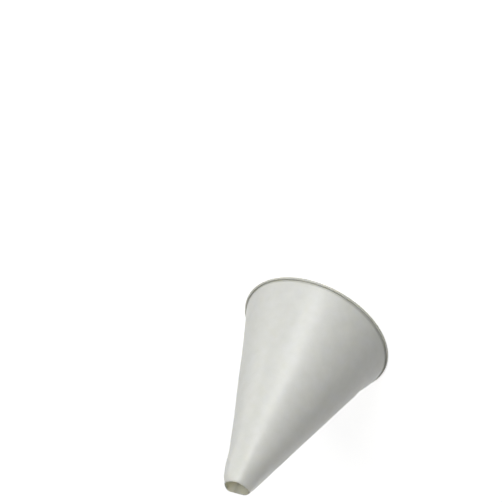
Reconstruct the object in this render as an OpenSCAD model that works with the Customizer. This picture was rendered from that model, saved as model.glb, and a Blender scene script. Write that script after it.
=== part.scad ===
// Paper funnel: one sheet of paper wound into a cone that is cut open at its tip, glued along a
// lap at the back and rolled outwards round its mouth. It stands on the rolled rim, mouth down.
// The origin is the centre of the mouth on the surface that it stands on. +Z is the cone's axis,
// pointing to the tip, and the glued lap is on the +Y side.

/* [Cone] */
// Diameter of the mouth over the rolled rim
rim_d = 80; // [60:1:120]
// Height from the pressed face of the rolled rim to the cut tip
height = 95; // [70:1:140]
// Outside diameter of the cut tip
tip_d = 11; // [8:0.5:20]

/* [Paper] */
// Thickness of the sheet
paper_t = 0.3; // [0.2:0.05:0.4]
// Width at the mouth of the glued lap, where the end of the sheet lies over its start
lap_w = 8; // [5:0.5:12]
// How far the two thicknesses of the lap are pressed into each other
lap_press = 0.06; // [0.04:0.01:0.1]

/* [Rolled rim] */
// Outside diameter of the roll
bead_d = 1.4; // [1.2:0.1:3]
// How far the roll stands proud of the wall inside the mouth, which leaves a crease there
bead_in = 0.05; // [0.02:0.01:0.1]
// Clearance between the cut edge of the roll and the lapped wall
curl_gap = 0.2; // [0.1:0.05:0.3]
// Width of the flat that the roll is pressed to on the side of the mouth
rest_w = 0.6; // [0.3:0.1:0.8]

/* [Hidden] */
$fn = 180;
paper_white = [0.87, 0.87, 0.83];

// The roll in section, where X is the distance from the axis of the cone
bead_r = bead_d / 2;
core_r = bead_r - paper_t;
roll = [rim_d / 2 - bead_r, sqrt(bead_r ^ 2 - rest_w ^ 2 / 4)];

// Distances of the wall's two faces from the centre of the roll, square to the wall
inner_n = bead_r - bead_in;
outer_n = inner_n - paper_t;

// The wall leans so that its outer face runs from the edge of the tip past the centre of the roll
tip_edge = [tip_d / 2, height];
reach = norm(tip_edge - roll);
lean = atan2(roll.x - tip_edge.x, tip_edge.y - roll.y) - asin(outer_n / reach);

// Thickness of the wall and height of the lap on it, both measured square to the axis. The lap is
// rounded to a ten-thousandth of a millimetre, so that halves and wholes of it meet exactly.
fine = 10000;
wall = paper_t / cos(lean);
lap_t = paper_t - lap_press;
lap = round(fine * lap_t / cos(lean)) / fine;

// The flat sheet has straight ends, so the lap covers the same angle all the way up the cone
lap_angle = 360 * lap_w / (PI * rim_d);

// Angles round the roll: its root square to the wall, its start inside the wall, and its cut
// edge, which stops clear of the lap
root = 180 + lean;
roll_start = root - (acos(inner_n / bead_r) + acos(outer_n / core_r)) / 2;
roll_end = root - acos((outer_n - lap_t - curl_gap) / bead_r);

// The wall and the lap run down into the paper of the roll, to near its outer face
foot_r = bead_r - paper_t / 10;
foot = sqrt(foot_r ^ 2 - outer_n ^ 2);

function around(angle, r) = roll + r * [cos(angle), sin(angle)];

// A point n from the centre of the roll square to the wall, and s down along the wall
function beside(n, s) = around(root, n) + s * [-sin(root), cos(root)];

// Straight wall in section, with its foot in the roll, and with what is added on its outer face
module wall_section(added = 0) {
    polygon([
        beside(inner_n, 0),
        beside(outer_n, foot) + [added, 0],
        tip_edge + [added, 0],
        tip_edge - [wall, 0],
    ]);
}

// Outward roll in section: a ring of paper that is open beside the wall
module roll_section() {
    past = bead_d / cos((roll_start - roll_end) / 2);
    difference() {
        translate(roll) circle(r = bead_r);
        translate(roll) circle(r = core_r);
        polygon([roll, around(roll_start, past), around(roll_end, past)]);
    }
}

// The whole sheet in section, with the roll pressed flat where the funnel stands
module sheet_section() {
    difference() {
        union() {
            wall_section();
            roll_section();
        }
        translate([0, -bead_d]) square([rim_d, bead_d]);
    }
}

// Half a turn round the axis, from one side of the plane of the lap to the other
module half_turn(first_angle) {
    rotate([0, 0, first_angle]) rotate_extrude(angle = 180) children();
}

// The lap seen from above, drawn past the half turn that it is cut from
module lap_sector() {
    polygon([[0, 0], rim_d * [sin(lap_angle), cos(lap_angle)], [-rim_d, rim_d]]);
}

// The sheet winds round from its inner edge. Its second half turn has its centre moved towards
// the lap, so it starts flush with the first and ends further out, as a lap over its start.
module funnel() {
    color(paper_white) {
        half_turn(-90) sheet_section();
        translate([0, lap / 2, 0]) half_turn(90) translate([lap / 2, 0]) sheet_section();
        intersection() {
            half_turn(-90) wall_section(added = lap);
            linear_extrude(height) lap_sector();
        }
    }
}

funnel();
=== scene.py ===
"""A paper funnel in a plain studio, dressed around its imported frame.

One sheet of off-white paper is wound into a cone that is cut open at its tip, glued along a lap at
the back and rolled outwards round its mouth. It stands on the rolled rim. All lengths are metres,
+Z is the axis of the cone, and the lap is on the +Y side.
"""

import logging
import math
from dataclasses import dataclass
from enum import Enum
from typing import ClassVar

import bpy
import numpy as np
from mathutils import Matrix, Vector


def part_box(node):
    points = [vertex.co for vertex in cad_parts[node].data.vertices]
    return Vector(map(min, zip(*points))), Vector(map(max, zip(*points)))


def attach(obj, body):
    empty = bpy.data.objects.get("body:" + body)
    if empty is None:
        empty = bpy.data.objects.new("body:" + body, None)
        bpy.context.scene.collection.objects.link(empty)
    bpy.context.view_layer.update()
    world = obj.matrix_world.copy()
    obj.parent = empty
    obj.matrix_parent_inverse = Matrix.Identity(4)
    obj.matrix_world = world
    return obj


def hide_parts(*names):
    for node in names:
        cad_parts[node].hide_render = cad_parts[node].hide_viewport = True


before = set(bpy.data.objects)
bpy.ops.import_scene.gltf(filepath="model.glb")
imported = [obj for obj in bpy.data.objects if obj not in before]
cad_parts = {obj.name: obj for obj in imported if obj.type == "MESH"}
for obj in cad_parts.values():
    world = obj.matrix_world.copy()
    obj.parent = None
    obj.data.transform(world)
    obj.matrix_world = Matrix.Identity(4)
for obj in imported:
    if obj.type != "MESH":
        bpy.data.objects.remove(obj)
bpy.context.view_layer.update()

LOG = logging.getLogger("paper_funnel")
MM = 0.001
NODE = "funnel"
BODY = "root"
FLAT_MAP = "flat_sheet"
# Name of the point attribute that holds the rim's painted shade: the top of the roll and the crease at
# its foot.
RIM_PAINTED_SHADE = "rim_painted_shade"

Colour = tuple[float, float, float, float]


class Side(Enum):
    """The two faces of the sheet, with how far each lies from its middle, in thicknesses of paper."""

    OUTER = 0.5
    INNER = -0.5


class Surface(Enum):
    """What a face of the mesh is made of, with its place among the material slots."""

    SATIN_FACE = 0
    CUT_EDGE = 1


def smooth_step(value: np.ndarray, low: float, high: float) -> np.ndarray:
    """A rise from 0 at low to 1 at high that is level at both ends.

    Args:
        value: The numbers to compare with low and high.
        low: Where the rise starts.
        high: Where the rise ends, which may be less than low.

    Returns:
        3 t^2 - 2 t^3, where t is how far the value is between low and high.
    """
    t = np.clip((value - low) / (high - low), 0.0, 1.0)
    return t * t * (3.0 - 2.0 * t)


class NodeBoard:
    """A node tree, with short calls to place nodes and to join their sockets.

    A Mix node repeats its socket names for each kind of data, so the colour ones go by number.
    """

    FIRST_COLOUR = 6
    SECOND_COLOUR = 7
    MIXED_COLOUR = 2

    def __init__(self, tree: bpy.types.NodeTree) -> None:
        """Takes an existing tree and empties it."""
        self.tree = tree
        self.tree.nodes.clear()

    def place(
        self, kind: str, settings: dict[str, object] | None = None, **inputs: object
    ) -> bpy.types.Node:
        """Adds one node.

        Args:
            kind: The node's type name.
            settings: Properties of the node itself, by name.
            inputs: Values or sockets for its inputs, by name, with _ for each space.

        Returns:
            The new node.
        """
        node = self.tree.nodes.new(kind)
        for name, value in (settings or {}).items():
            setattr(node, name, value)
        for name, value in inputs.items():
            self.feed(node.inputs[name.replace("_", " ")], value)
        return node

    def feed(self, socket: bpy.types.NodeSocket, value: object) -> None:
        """Links a socket to an input, or sets the input's own value.

        Args:
            socket: The input.
            value: An output socket, or the value that is the same all over.
        """
        if isinstance(value, bpy.types.NodeSocket):
            self.tree.links.new(value, socket)
        else:
            socket.default_value = value

    def math(self, operation: str, first: object, second: object = 0.0) -> bpy.types.NodeSocket:
        """Adds one sum.

        Args:
            operation: The name of the Math node's operation.
            first: Its first value or socket.
            second: Its second value or socket.

        Returns:
            The socket that holds the result.
        """
        node = self.place("ShaderNodeMath", {"operation": operation})
        self.feed(node.inputs[0], first)
        self.feed(node.inputs[1], second)
        return node.outputs[0]

    def spread(self, value: object, low: float, high: float) -> bpy.types.NodeSocket:
        """Maps a value from 0 to 1 onto the range from low to high and returns its socket."""
        node = self.place("ShaderNodeMapRange", Value=value, To_Min=low, To_Max=high)
        return node.outputs["Result"]

    def blend(self, factor: object, first: object, second: object) -> bpy.types.NodeSocket:
        """Mixes two colours.

        Args:
            factor: The share of the second colour, as a value or socket.
            first: A colour or its socket.
            second: A colour or its socket.

        Returns:
            The socket that holds the mixture.
        """
        node = self.place("ShaderNodeMix", {"data_type": "RGBA"})
        self.feed(node.inputs["Factor"], factor)
        self.feed(node.inputs[self.FIRST_COLOUR], first)
        self.feed(node.inputs[self.SECOND_COLOUR], second)
        return node.outputs[self.MIXED_COLOUR]


class FibreGroup:
    """The shader node group of how paper is formed: soft clouds, and fibres that lie along the grain.

    Its Sheet input is a place on the flat sheet, in sheet widths.
    """

    NAME = "paper_fibres"
    CLOUDS_PER_WIDTH = 44.0
    CLOUD_DETAIL = 4.0
    CLOUD_ROUGHNESS = 0.55
    CLOUD_HEIGHT = 0.5
    FIBRES_PER_WIDTH = 420.0
    FIBRE_DETAIL = 5.0
    FIBRE_ROUGHNESS = 0.6
    FIBRE_BEND = 0.6
    GRAIN_STRETCH = 3.0

    @classmethod
    def tree(cls) -> bpy.types.NodeTree:
        """Returns the group, built the first time that it is asked for."""
        return bpy.data.node_groups.get(cls.NAME) or cls._build()

    @classmethod
    def _build(cls) -> bpy.types.NodeTree:
        """Builds the group.

        Returns:
            A shader node group that puts out Cloud, Fibre and Height, each about 0 to 1.
        """
        tree = bpy.data.node_groups.new(cls.NAME, "ShaderNodeTree")
        tree.interface.new_socket("Sheet", in_out="INPUT", socket_type="NodeSocketVector")
        fineness = tree.interface.new_socket("Fineness", in_out="INPUT", socket_type="NodeSocketFloat")
        fineness.default_value = 1.0
        for name in ("Cloud", "Fibre", "Height"):
            tree.interface.new_socket(name, in_out="OUTPUT", socket_type="NodeSocketFloat")
        board = NodeBoard(tree)
        given = board.place("NodeGroupInput")
        grain = board.place(
            "ShaderNodeMapping",
            Vector=given.outputs["Sheet"],
            Scale=(1.0, cls.GRAIN_STRETCH, 1.0),
        )
        clouds = board.place(
            "ShaderNodeTexNoise",
            Vector=given.outputs["Sheet"],
            Scale=board.math("MULTIPLY", given.outputs["Fineness"], cls.CLOUDS_PER_WIDTH),
            Detail=cls.CLOUD_DETAIL,
            Roughness=cls.CLOUD_ROUGHNESS,
        )
        fibres = board.place(
            "ShaderNodeTexNoise",
            Vector=grain.outputs["Vector"],
            Scale=board.math("MULTIPLY", given.outputs["Fineness"], cls.FIBRES_PER_WIDTH),
            Detail=cls.FIBRE_DETAIL,
            Roughness=cls.FIBRE_ROUGHNESS,
            Distortion=cls.FIBRE_BEND,
        )
        cloud, fibre = clouds.outputs[0], fibres.outputs[0]
        swell = board.math("MULTIPLY", cloud, cls.CLOUD_HEIGHT)
        board.place("NodeGroupOutput", Cloud=cloud, Fibre=fibre, Height=board.math("ADD", fibre, swell))
        return tree


@dataclass(frozen=True)
class PaperFinish:
    """A finish of the paper: its colours, new and darkened by painted shade, its gloss and the depth of
    its fibres.
    """

    CLOUD_SHARE: ClassVar[float] = 0.6
    DEEP_TONE: ClassVar[float] = 0.36
    PALE_TONE: ClassVar[float] = 0.64
    LIGHT_THROUGH: ClassVar[float] = 1.0
    LIGHT_REACH: ClassVar[float] = 0.8 * MM
    LIGHT_TINT: ClassVar[tuple[float, float, float]] = (1.0, 0.95, 0.78)

    name: str
    pale: Colour
    deep: Colour
    # Painted shade: the darker colour that the rim's top and crease are painted with.
    painted_shade: Colour
    fineness: float
    gloss_low: float
    gloss_high: float
    specular: float
    bump_depth: float
    bump_strength: float

    def material(self) -> bpy.types.Material:
        """Builds the finish.

        Returns:
            A material whose colour, roughness and normal all follow the fibres of the flat sheet,
            and whose colour turns to a painted shade on the top of the roll and in the crease at its
            foot.
        """
        material = bpy.data.materials.new(self.name)
        material.use_nodes = True
        board = NodeBoard(material.node_tree)
        sheet = board.place("ShaderNodeUVMap", {"uv_map": FLAT_MAP})
        fibres = board.place(
            "ShaderNodeGroup",
            {"node_tree": FibreGroup.tree()},
            Sheet=sheet.outputs["UV"],
            Fineness=self.fineness,
        )
        cloud = board.math("MULTIPLY", fibres.outputs["Cloud"], self.CLOUD_SHARE)
        fibre = board.math("MULTIPLY", fibres.outputs["Fibre"], 1.0 - self.CLOUD_SHARE)
        tone = board.place(
            "ShaderNodeMapRange",
            Value=board.math("ADD", cloud, fibre),
            From_Min=self.DEEP_TONE,
            From_Max=self.PALE_TONE,
        )
        relief = board.place(
            "ShaderNodeBump",
            Strength=self.bump_strength,
            Distance=self.bump_depth,
            Height=fibres.outputs["Height"],
        )
        # Painted shade: the rim's share of the darker colour, set per point by the sheet.
        shade_share = board.place("ShaderNodeAttribute", {"attribute_name": RIM_PAINTED_SHADE})
        fresh = board.blend(tone.outputs["Result"], self.deep, self.pale)
        paper = board.place(
            "ShaderNodeBsdfPrincipled",
            Base_Color=board.blend(shade_share.outputs["Fac"], fresh, self.painted_shade),
            Roughness=board.spread(fibres.outputs["Fibre"], self.gloss_low, self.gloss_high),
            Normal=relief.outputs["Normal"],
            Specular_IOR_Level=self.specular,
            Subsurface_Weight=self.LIGHT_THROUGH,
            Subsurface_Radius=self.LIGHT_TINT,
            Subsurface_Scale=self.LIGHT_REACH,
        )
        board.place("ShaderNodeOutputMaterial", Surface=paper.outputs["BSDF"])
        return material


SATIN_PAPER = PaperFinish(
    name="satin_paper",
    pale=(0.810, 0.810, 0.740, 1.0),
    deep=(0.758, 0.758, 0.680, 1.0),
    # Painted shade on the roll's top and in the crease at its foot.
    painted_shade=(0.560, 0.560, 0.500, 1.0),
    fineness=1.0,
    gloss_low=0.35,
    gloss_high=0.53,
    specular=0.8,
    bump_depth=0.06 * MM,
    bump_strength=0.5,
)
CUT_PAPER = PaperFinish(
    name="cut_paper",
    pale=(0.900, 0.895, 0.820, 1.0),
    deep=(0.800, 0.795, 0.715, 1.0),
    # Painted shade on the roll's top and in the crease at its foot.
    painted_shade=(0.600, 0.600, 0.540, 1.0),
    fineness=2.5,
    gloss_low=0.75,
    gloss_high=0.95,
    specular=0.3,
    bump_depth=0.08 * MM,
    bump_strength=0.6,
)
FINISHES = {Surface.SATIN_FACE: SATIN_PAPER, Surface.CUT_EDGE: CUT_PAPER}


@dataclass(frozen=True)
class Bulge:
    """A place where the sheet is moved by a rise, or the other way where the rise is negative.

    It is centred at an angle round the axis and fades on both sides of it over its spread, both in
    degrees. Up the wall it grows from low to full, keeps its rise to hold, and is gone at high.
    """

    rise: float
    angle: float
    spread: float
    low: float
    full: float
    hold: float
    high: float

    def at(self, angle: np.ndarray, height: np.ndarray) -> np.ndarray:
        """Works out how far each point is moved.

        Args:
            angle: How far round the axis each point lies.
            height: How high each point lies.

        Returns:
            The rise, times half a cosine wave across the spread, times the share up the wall.
        """
        off = np.abs((angle - math.radians(self.angle) + math.pi) % math.tau - math.pi)
        across = (1.0 + np.cos(math.pi * np.minimum(off / math.radians(self.spread), 1.0))) / 2
        up = smooth_step(height, self.low, self.full) * smooth_step(height, self.high, self.hold)
        return self.rise * across * up


@dataclass(frozen=True)
class Handling:
    """What cutting, squeezing and rolling did to the sheet, as moves of its middle.

    The tip is cut aslant, with one high and one low corner, and squeezed to three soft corners. The
    mouth is spread to an oval. The wall stands out a little beside the tip and above the rim, with a
    dent between that and the straight wall. It has low waves, and the roll has fine pleats. Angles
    are in degrees, and turns are pairs of the least number and of one past the most.
    """

    height: float
    tip_radius: float
    cut_drop: float = 0.37 * MM
    cut_slant: float = 0.10
    cut_corners: tuple[Bulge, ...] = (
        Bulge(rise=0.7 * MM, angle=30.0, spread=45.0, low=90.0 * MM, full=95.0 * MM,
              hold=97.0 * MM, high=99.0 * MM),
        Bulge(rise=-0.4 * MM, angle=272.0, spread=50.0, low=90.0 * MM, full=95.0 * MM,
              hold=97.0 * MM, high=99.0 * MM),
    )
    corner_rise: float = 0.33 * MM
    corner_count: int = 3
    corner_angle: float = 45.0
    corner_low: float = 0.80
    oval_rise: float = 1.1 * MM
    oval_angle: float = 133.0
    oval_high: float = 25.0 * MM
    bulges: tuple[Bulge, ...] = (
        Bulge(rise=1.35 * MM, angle=92.0, spread=75.0, low=77.5 * MM, full=88.5 * MM,
              hold=92.0 * MM, high=97.0 * MM),
        Bulge(rise=0.2 * MM, angle=280.0, spread=70.0, low=0.8 * MM, full=4.0 * MM,
              hold=5.5 * MM, high=13.0 * MM),
        Bulge(rise=-0.5 * MM, angle=275.0, spread=70.0, low=6.5 * MM, full=14.0 * MM,
              hold=14.5 * MM, high=21.0 * MM),
    )
    wave_rise: float = 0.035 * MM
    wave_count: int = 14
    wave_turns: tuple[int, int] = (2, 9)
    wave_climbs: tuple[float, float] = (1.0, 6.0)
    pleat_rise: float = 0.025 * MM
    pleat_count: int = 12
    pleat_turns: tuple[int, int] = (60, 130)
    seed: int = 7

    def outward(self, angle: np.ndarray, height: np.ndarray) -> np.ndarray:
        """Works out how far each point of the wall moves away from the axis.

        The corners are a cosine of as many turns. The waves are a sum of cosines with a few turns
        round the axis and a few up it, which are drawn from the seed with their phases. The waves'
        rise is the root mean square of that sum.

        Args:
            angle: How far round the axis each point lies.
            height: How high each point lies.

        Returns:
            The sum of the corners, the bulges and the waves.
        """
        corner = np.cos(self.corner_count * (angle - math.radians(self.corner_angle)))
        near_tip = smooth_step(height, self.corner_low * self.height, self.height)
        moved = self.corner_rise * corner * near_tip
        for bulge in self.bulges:
            moved = moved + bulge.at(angle, height)
        draw = np.random.default_rng(self.seed)
        turns = draw.integers(*self.wave_turns, self.wave_count)[:, None, None]
        climbs = draw.uniform(*self.wave_climbs, self.wave_count)[:, None, None]
        phases = draw.uniform(0.0, math.tau, self.wave_count)[:, None, None]
        wave = np.cos(turns * angle + math.tau * climbs * height / self.height + phases).sum(axis=0)
        return moved + self.wave_rise * wave * math.sqrt(2.0 / self.wave_count)

    def spread(self, angle: np.ndarray, height: np.ndarray) -> np.ndarray:
        """Works out how far each point of the mouth moves away from the axis for its oval.

        Args:
            angle: How far round the axis each point lies.
            height: How high each point lies.

        Returns:
            A cosine of two turns between 0 and the oval's rise, which fades out up the wall.
        """
        across = (1.0 + np.cos(2.0 * (angle - math.radians(self.oval_angle)))) / 2
        return self.oval_rise * across * smooth_step(height, self.oval_high, 0.0)

    def upward(self, angle: np.ndarray, height: np.ndarray) -> np.ndarray:
        """Works out how far each point moves up for the slanting cut.

        Args:
            angle: How far round the axis each point lies.
            height: How high each point lies.

        Returns:
            Nothing low on the wall. At the tip it is a slope that is highest on the +X side, with the
            corners of the cut.
        """
        near_tip = smooth_step(height, self.corner_low * self.height, self.height)
        moved = near_tip * (self.cut_slant * self.tip_radius * np.sin(angle) - self.cut_drop)
        for corner in self.cut_corners:
            moved = moved + corner.at(angle, height)
        return moved

    def pleats(self, angle: np.ndarray) -> np.ndarray:
        """Works out how far the roll is drawn in by its pleats.

        Args:
            angle: How far round the axis each point lies.

        Returns:
            A sum of cosines of many turns, which are drawn from the seed with their phases. The
            pleats' rise is its root mean square.
        """
        draw = np.random.default_rng(self.seed + 1)
        turns = draw.integers(*self.pleat_turns, self.pleat_count)[:, None, None]
        phases = draw.uniform(0.0, math.tau, self.pleat_count)[:, None, None]
        wave = np.cos(turns * angle + phases).sum(axis=0)
        return self.pleat_rise * wave * math.sqrt(2.0 / self.pleat_count)


@dataclass
class FunnelSheet:
    """One sheet of paper, wound into a cone, lapped at the back and rolled outwards at the mouth.

    The sheet is a surface of two parameters. One runs along its section, from the cut tip down the
    wall and round the roll. The other runs across it, from its inner edge at +Y round through +X, -Y
    and -X, and on over its own start by the width of the lap. A span is where a smooth change starts
    and ends along the roll: 0 is its root, 1 is its cut edge, and less than 0 is up the wall.
    """

    rim_radius: float
    height: float
    tip_radius: float = 5.5 * MM
    paper: float = 0.3 * MM
    lap: float = 8.0 * MM
    lap_at_tip: float = 0.15 * MM
    tip_bevel: float = 0.35 * MM
    glue: float = 0.01 * MM
    bead_radius: float = 0.7 * MM
    rest_width: float = 0.6 * MM
    roll_open: float = 97.4
    handled_span: tuple[float, float] = (0.0, -0.5)
    pleat_span: tuple[float, float] = (0.05, 0.6)
    # Painted shade: how far the crease at the wall's foot and the top of the roll are darkened, and
    # over which spans.
    crease_shade: float = 0.85
    crease_shade_above: tuple[float, float] = (-0.8, -0.5)
    crease_shade_below: tuple[float, float] = (0.2, 0.0)
    roll_top_shade: float = 0.72
    roll_top_shade_span: tuple[float, float] = (0.45, 0.75)
    foot_reach: float = 3.0 * MM
    foot_rows: int = 10
    wall_rows: int = 52
    roll_rows: int = 28
    columns: int = 620
    sharp_angle: float = 50.0

    @property
    def handling(self) -> Handling:
        """What was done by hand to a sheet of this size."""
        return Handling(height=self.height, tip_radius=self.tip_radius)

    @property
    def roll_radius(self) -> float:
        """Radius of the middle of the paper round the roll."""
        return self.bead_radius - self.paper / 2

    @property
    def roll_centre(self) -> np.ndarray:
        """Distance from the axis, and height, of the centre of the roll."""
        rise = math.sqrt(self.bead_radius ** 2 - self.rest_width ** 2 / 4)
        return np.array([self.rim_radius - self.bead_radius, rise])

    @property
    def tip_middle(self) -> np.ndarray:
        """Distance from the axis, and height, of the middle of the paper at the tip.

        The sine of the lean is about a third, so half the paper's thickness reaches a sixth of it up.
        """
        return np.array([self.tip_radius - self.paper / 2, self.height - self.paper / 6])

    @property
    def lean(self) -> float:
        """Angle of the wall from the axis, at which it meets the roll as a tangent."""
        across, down = self.roll_centre - self.tip_middle
        return math.atan2(across, -down) - math.asin(self.roll_radius / math.hypot(across, down))

    def section(self) -> tuple[np.ndarray, np.ndarray, np.ndarray]:
        """Works out the middle of the paper in section, from the tip to the cut edge of the roll.

        The wall is the straight line from the tip to the point where it touches the circle of the
        roll. The rows of its upper part are the mean of an even spacing and of half a cosine wave, so
        they lie closer at both ends, and the rows of its foot are close and even. The roll follows
        that circle through its lowest, outermost and highest points, and stops short of the wall by
        the angle of its opening, in degrees.

        Returns:
            The points as (distance from the axis, height), their unit normals, which point out of
            the wall and into the roll, and their distances from the tip along the sheet.
        """
        root = math.pi + self.lean
        touch = self.roll_centre + self.roll_radius * np.array([math.cos(root), math.sin(root)])
        foot_start = 1.0 - self.foot_reach / np.linalg.norm(touch - self.tip_middle)
        even = np.linspace(0.0, 1.0, self.wall_rows - self.foot_rows, endpoint=False)
        upper = foot_start * (even + (1.0 - np.cos(math.pi * even)) / 2) / 2
        lower = np.linspace(foot_start, 1.0, self.foot_rows, endpoint=False)
        share = np.concatenate([upper, lower])
        wall = self.tip_middle + share[:, None] * (touch - self.tip_middle)
        angle = root + np.linspace(0.0, math.tau - math.radians(self.roll_open), self.roll_rows)
        around = np.stack([np.cos(angle), np.sin(angle)], axis=1)
        roll = self.roll_centre + self.roll_radius * around
        wall_normal = np.array([math.cos(self.lean), math.sin(self.lean)])
        points = np.concatenate([wall, roll])
        normals = np.concatenate([np.broadcast_to(wall_normal, wall.shape), -around])
        steps = np.linalg.norm(np.diff(points, axis=0), axis=1)
        return points, normals, np.concatenate([[0.0], np.cumsum(steps)])

    def winding(self) -> np.ndarray:
        """Works out how far round the axis each column of the sheet lies.

        The flat sheet has straight ends, so every row starts at +Y and goes one full turn and the
        angle of a lap that widens evenly from the tip to the mouth.

        Returns:
            The angles, with a row for each point of the section and a column for each place across.
        """
        points, _, run = self.section()
        share = np.minimum(run / run[self.wall_rows], 1.0)
        lap = self.lap_at_tip + share * (self.lap - self.lap_at_tip)
        across = np.linspace(0.0, 1.0, self.columns)
        return (math.tau + lap / points[:, 0])[:, None] * across

    def climb(self, angle: np.ndarray) -> np.ndarray:
        """Works out how far the sheet has risen on its way over its own start.

        Args:
            angle: How far round the axis each point lies.

        Returns:
            Nothing for the first half turn, then half a cosine wave up to one thickness of paper and
            the glue at the full turn, and that from there on.
        """
        share = np.clip(angle / math.pi - 1.0, 0.0, 1.0)
        return (self.paper + self.glue) * (1.0 - np.cos(math.pi * share)) / 2

    def face(self, side: Side) -> np.ndarray:
        """Works out one face of the sheet.

        Each point is a point of the section, moved along its normal by the climb, by the pleats and
        by half the paper's thickness, and turned round the axis by the winding. Handling moves both
        faces of the wall alike. The outer face stops short of the tip by the bevel of its cut edge.
        What would lie under the surface that the rim stands on is pressed up to it.

        Args:
            side: Which face.

        Returns:
            The points as an array of rows, columns and three coordinates.
        """
        points, normals, _ = self.section()
        angle = self.winding()
        if side is Side.OUTER:
            points[0] += self.tip_bevel * np.array([math.sin(self.lean), -math.cos(self.lean)])
        middle = points[:, 1:]
        handling = self.handling
        on_roll = smooth_step(self.along_roll(), *self.pleat_span)[:, None]
        on_wall = smooth_step(self.along_roll(), *self.handled_span)[:, None]
        pleat = on_roll * handling.pleats(angle)
        away = self.climb(angle) + side.value * self.paper + pleat
        out = on_wall * handling.outward(angle, middle) + handling.spread(angle, middle)
        radius = points[:, :1] + normals[:, :1] * away + out
        height = points[:, 1:] + normals[:, 1:] * away + handling.upward(angle, middle)
        height = np.maximum(height, 0.0)
        return np.stack([radius * np.sin(angle), radius * np.cos(angle), height], axis=-1)

    def along_roll(self) -> np.ndarray:
        """Works out where each row lies along the roll.

        Returns:
            0 at the roll's root, 1 at its cut edge, and less than 0 up the wall.
        """
        _, _, run = self.section()
        root = run[self.wall_rows]
        return (run - root) / (run[-1] - root)

    def rim_painted_shade(self) -> np.ndarray:
        """Works out how much painted shade each row has.

        Returns:
            The sum of two smooth rises of painted shade: one over the roll's top, and one in the crease
            where the wall meets the roll.
        """
        along = self.along_roll()
        foot = smooth_step(along, *self.crease_shade_above) * smooth_step(along, *self.crease_shade_below)
        return self.roll_top_shade * smooth_step(along, *self.roll_top_shade_span) + self.crease_shade * foot

    def flat_place(self) -> np.ndarray:
        """Works out where each point lay on the flat sheet, before it was wound.

        A cone unrolls to a sector: the distance from its point is kept, and the angle round the axis
        shrinks by the sine of the lean.

        Returns:
            Rows, columns and two coordinates, as shares of the sheet's width, within 0 to 1.
        """
        _, _, run = self.section()
        far = self.tip_middle[0] / math.sin(self.lean) + run
        angle = (self.winding() - math.pi) * math.sin(self.lean)
        place = far[:, None, None] * np.stack([np.sin(angle), np.cos(angle)], axis=-1)
        return 0.5 + place / (2.0 * far[-1])

    def quads(self) -> tuple[np.ndarray, np.ndarray]:
        """Works out the quads of the closed mesh.

        The outer face from tip to roll and the inner face from roll to tip make one loop of rows,
        which closes on itself over the two cut edges. Two strips close the start and end edges.

        Returns:
            The numbers of each quad's four points, and the value of each quad's Surface.
        """
        rows, columns = self.wall_rows + self.roll_rows, self.columns
        number = np.arange(2 * rows * columns).reshape(2 * rows, columns)
        after = np.roll(number, -1, axis=0)
        skin = np.stack([number[:, :-1], number[:, 1:], after[:, 1:], after[:, :-1]], axis=-1)
        under = number[::-1]
        strips = np.stack([number, after, np.roll(under, 1, axis=0), under], axis=-1)[:rows - 1]
        caps = [strips[:, 0], strips[:, -1, ::-1]]

        skin_surface = np.full((2 * rows, columns - 1), Surface.SATIN_FACE.value, dtype=np.int32)
        skin_surface[[rows - 1, 2 * rows - 1]] = Surface.CUT_EDGE.value
        cap_surface = np.full(2 * (rows - 1), Surface.CUT_EDGE.value, dtype=np.int32)
        surface = np.concatenate([skin_surface.ravel(), cap_surface])
        return np.concatenate([skin.reshape(-1, 4), *caps]), surface

    def build(self) -> bpy.types.Object:
        """Builds the sheet.

        Returns:
            The object, at the origin, with a map of the flat sheet and the painted shade of its rim.
        """
        loop = np.concatenate([self.face(Side.OUTER), self.face(Side.INNER)[::-1]])
        flat = self.flat_place()
        flat_loop = np.concatenate([flat, flat[::-1]]).reshape(-1, 2)
        # Painted shade of each row, for the roll's top and the crease at its foot.
        shade_share = self.rim_painted_shade()
        shade_share_loop = np.repeat(np.concatenate([shade_share, shade_share[::-1]]), self.columns)
        quads, surface = self.quads()

        mesh = bpy.data.meshes.new("funnel_sheet")
        mesh.from_pydata(loop.reshape(-1, 3), [], quads)
        mesh.polygons.foreach_set("material_index", surface)
        layer = mesh.uv_layers.new(name=FLAT_MAP)
        layer.uv.foreach_set("vector", flat_loop[quads.ravel()].astype(np.float32).ravel())
        # Painted shade, stored on the points for the finishes to read.
        painted_shade = mesh.attributes.new(RIM_PAINTED_SHADE, "FLOAT", "POINT")
        painted_shade.data.foreach_set("value", shade_share_loop)
        mesh.shade_smooth()
        mesh.set_sharp_from_angle(angle=math.radians(self.sharp_angle))
        mesh.update()
        mesh.validate()
        piece = bpy.data.objects.new("funnel_sheet", mesh)
        bpy.context.scene.collection.objects.link(piece)
        return piece

    def dress(self, piece: bpy.types.Object) -> None:
        """Gives the sheet its finishes and puts it in the frame in place of its plain solid.

        Args:
            piece: The sheet's object.
        """
        for surface in Surface:
            piece.data.materials.append(FINISHES[surface].material())
        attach(piece, BODY)
        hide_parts(NODE)


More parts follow.
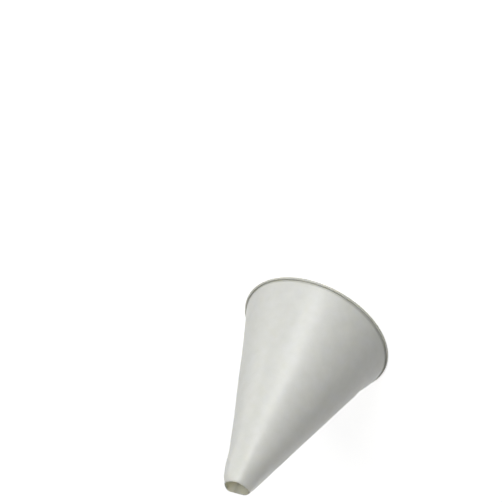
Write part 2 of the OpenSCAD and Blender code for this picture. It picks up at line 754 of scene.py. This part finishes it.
@dataclass(frozen=True)
class PhotoCamera:
    """The camera at the photograph's angle.

    Its distance from the mouth's centre and its elevation, in degrees, place it. The pixels on which
    the centres of the mouth and of the tip fall turn it.
    """

    picture_px: float = 502.0
    lens_mm: float = 50.0
    sensor_mm: float = 36.0
    distance: float = 372.37 * MM
    elevation: float = 37.12
    mouth_px: tuple[float, float] = (314.45, 335.07)
    tip_px: tuple[float, float] = (236.51, 489.02)

    def sight(self, pixel: tuple[float, float]) -> np.ndarray:
        """Works out the line of sight of a pixel.

        Args:
            pixel: Its place in the picture, from the top left corner.

        Returns:
            A unit vector in the camera's own axes, which look along -Z.
        """
        half = self.picture_px / 2
        focal = self.picture_px * self.lens_mm / self.sensor_mm
        line = np.array([pixel[0] - half, half - pixel[1], -focal])
        return line / np.linalg.norm(line)

    def build(self) -> bpy.types.Object:
        """Builds the camera and makes it the scene's own.

        The line of sight to the mouth and the axis square to it are known both in the frame and in
        the camera, and the camera's turn takes one pair to the other.

        Returns:
            The camera.
        """
        elevation = math.radians(self.elevation)
        sine, cosine = math.sin(elevation), math.cos(elevation)
        to_mouth = np.array([0.0, cosine, -sine])
        axis = np.array([0.0, sine, cosine])
        mouth, tip = self.sight(self.mouth_px), self.sight(self.tip_px)
        along = tip - (tip @ mouth) * mouth
        along /= np.linalg.norm(along)
        in_frame = np.column_stack([to_mouth, axis, np.cross(to_mouth, axis)])
        in_camera = np.column_stack([mouth, along, np.cross(mouth, along)])
        place = np.eye(4)
        place[:3, :3] = in_frame @ in_camera.T
        place[:3, 3] = -self.distance * to_mouth
        data = bpy.data.cameras.new("photo_camera")
        data.lens = self.lens_mm
        data.sensor_width = self.sensor_mm
        data.clip_start = 1.0 * MM
        camera = bpy.data.objects.new("photo_camera", data)
        camera.matrix_world = Matrix(place.tolist())
        bpy.context.scene.collection.objects.link(camera)
        bpy.context.scene.camera = camera
        return camera


@dataclass(frozen=True)
class Softbox:
    """A square lamp that faces the middle of the object, from an azimuth and elevation in degrees."""

    name: str
    azimuth: float
    elevation: float
    distance: float
    width: float
    watts: float

    def build(self, target: np.ndarray) -> bpy.types.Object:
        """Builds the lamp.

        Args:
            target: The point that it faces.

        Returns:
            The lamp, as far from the target as its distance. Azimuth 0 is on the -Y side and 90
            degrees is on the +X side.
        """
        azimuth, elevation = math.radians(self.azimuth), math.radians(self.elevation)
        back = np.array([
            math.sin(azimuth) * math.cos(elevation),
            -math.cos(azimuth) * math.cos(elevation),
            math.sin(elevation),
        ])
        side = np.array([math.cos(azimuth), math.sin(azimuth), 0.0])
        place = np.eye(4)
        place[:3, :3] = np.column_stack([side, np.cross(back, side), back])
        place[:3, 3] = target + self.distance * back
        data = bpy.data.lights.new(self.name, "AREA")
        data.shape = "SQUARE"
        data.size = self.width
        data.energy = self.watts
        lamp = bpy.data.objects.new(self.name, data)
        lamp.matrix_world = Matrix(place.tolist())
        bpy.context.scene.collection.objects.link(lamp)
        return lamp


@dataclass(frozen=True)
class Studio:
    """A pale floor, soft lamps and an even surround that shows as white."""

    floor_reach: float = 4.0
    floor_drop: float = 0.02 * MM
    floor_colour: Colour = (0.70, 0.70, 0.69, 1.0)
    floor_glow: float = 0.78
    glow_near: float = 0.25
    glow_far: float = 1.2
    surround: float = 0.02
    target: tuple[float, float, float] = (0.0, 0.0, 40.0 * MM)
    lamps: tuple[Softbox, ...] = (
        Softbox("front_lamp", azimuth=15.0, elevation=3.0, distance=0.4, width=0.15, watts=0.67),
        Softbox("top_lamp", azimuth=30.0, elevation=30.0, distance=0.9, width=0.40, watts=2.8),
        Softbox("side_lamp", azimuth=85.0, elevation=3.0, distance=0.4, width=0.22, watts=0.30),
        Softbox("edge_lamp", azimuth=-130.0, elevation=8.0, distance=0.9, width=0.40, watts=2.8),
        Softbox("back_lamp", azimuth=165.0, elevation=8.0, distance=0.9, width=0.40, watts=4.7),
    )

    @staticmethod
    def seen_directly(board: NodeBoard) -> bpy.types.NodeSocket:
        """Tells what the camera sees, also in a gloss or through glass, from what only gives light.

        Args:
            board: The tree to place the nodes in.

        Returns:
            The socket that is 1 for what is seen and else 0.
        """
        path = board.place("ShaderNodeLightPath")
        glossy = board.math("MAXIMUM", path.outputs["Is Camera Ray"], path.outputs["Is Glossy Ray"])
        return board.math("MAXIMUM", glossy, path.outputs["Is Transmission Ray"])

    def floor_material(self) -> bpy.types.Material:
        """Builds the floor's finish.

        Returns:
            A matt material that is lit by the lamps, and glows where it is seen, so that it is white
            in the light and pale grey in the shadow. Far out it glows more, and so ends in the white
            of the surround. From below it is clear.
        """
        material = bpy.data.materials.new("studio_floor")
        material.use_nodes = True
        board = NodeBoard(material.node_tree)
        matt = board.place("ShaderNodeBsdfDiffuse", Color=self.floor_colour)
        place = board.place("ShaderNodeTexCoord")
        distance = board.place("ShaderNodeVectorMath", {"operation": "LENGTH"})
        board.feed(distance.inputs[0], place.outputs["Object"])
        rising = board.place(
            "ShaderNodeMapRange",
            Value=distance.outputs["Value"],
            From_Min=self.glow_near,
            From_Max=self.glow_far,
            To_Min=self.floor_glow,
            To_Max=1.0,
        )
        glow = board.place(
            "ShaderNodeEmission",
            Strength=board.math("MULTIPLY", self.seen_directly(board), rising.outputs["Result"]),
        )
        above = board.place("ShaderNodeAddShader")
        board.feed(above.inputs[0], matt.outputs[0])
        board.feed(above.inputs[1], glow.outputs[0])
        below = board.place("ShaderNodeBsdfTransparent")
        side = board.place("ShaderNodeNewGeometry")
        both = board.place("ShaderNodeMixShader")
        board.feed(both.inputs[0], side.outputs["Backfacing"])
        board.feed(both.inputs[1], above.outputs[0])
        board.feed(both.inputs[2], below.outputs[0])
        board.place("ShaderNodeOutputMaterial", Surface=both.outputs[0])
        return material

    def build_floor(self) -> bpy.types.Object:
        """Builds the floor.

        Returns:
            A square just under the rim, which reaches out to the white of the surround.
        """
        corners = np.array([[-1.0, -1.0, 0.0], [1.0, -1.0, 0.0], [1.0, 1.0, 0.0], [-1.0, 1.0, 0.0]])
        mesh = bpy.data.meshes.new("studio_floor")
        mesh.from_pydata(self.floor_reach * corners - [0.0, 0.0, self.floor_drop], [], [(0, 1, 2, 3)])
        mesh.materials.append(self.floor_material())
        floor = bpy.data.objects.new("studio_floor", mesh)
        bpy.context.scene.collection.objects.link(floor)
        return floor

    def build_surround(self) -> None:
        """Builds the world: an even light from all sides, which shows as white where it is seen."""
        world = bpy.data.worlds.new("studio_surround")
        world.use_nodes = True
        board = NodeBoard(world.node_tree)
        light = board.place(
            "ShaderNodeBackground",
            Color=(1.0, 1.0, 1.0, 1.0),
            Strength=board.spread(self.seen_directly(board), self.surround, 1.0),
        )
        board.place("ShaderNodeOutputWorld", Surface=light.outputs["Background"])
        bpy.context.scene.world = world

    def build(self) -> list[bpy.types.Object]:
        """Builds the floor, the surround and the lamps, and sets plain colours for the render.

        Returns:
            The floor and the lamps.
        """
        floor = self.build_floor()
        self.build_surround()
        lamps = [lamp.build(np.array(self.target)) for lamp in self.lamps]
        bpy.context.scene.view_settings.view_transform = "Standard"
        return [floor, *lamps]


def main() -> None:
    """Builds the camera, the sheet and the studio, in that order, and reports each piece."""
    logging.basicConfig(level=logging.INFO, format="%(name)s: %(message)s")
    camera = PhotoCamera().build()
    LOG.info("%s: %.0f mm lens", camera.name, camera.data.lens)
    _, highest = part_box(NODE)
    sheet = FunnelSheet(rim_radius=highest.x, height=highest.z)
    piece = sheet.build()
    sheet.dress(piece)
    LOG.info("%s: %d faces, wall leans %.2f degrees", piece.name, len(piece.data.polygons),
             math.degrees(sheet.lean))
    for item in Studio().build():
        LOG.info("%s: in the studio", item.name)


if __name__ == "__main__":
    main()
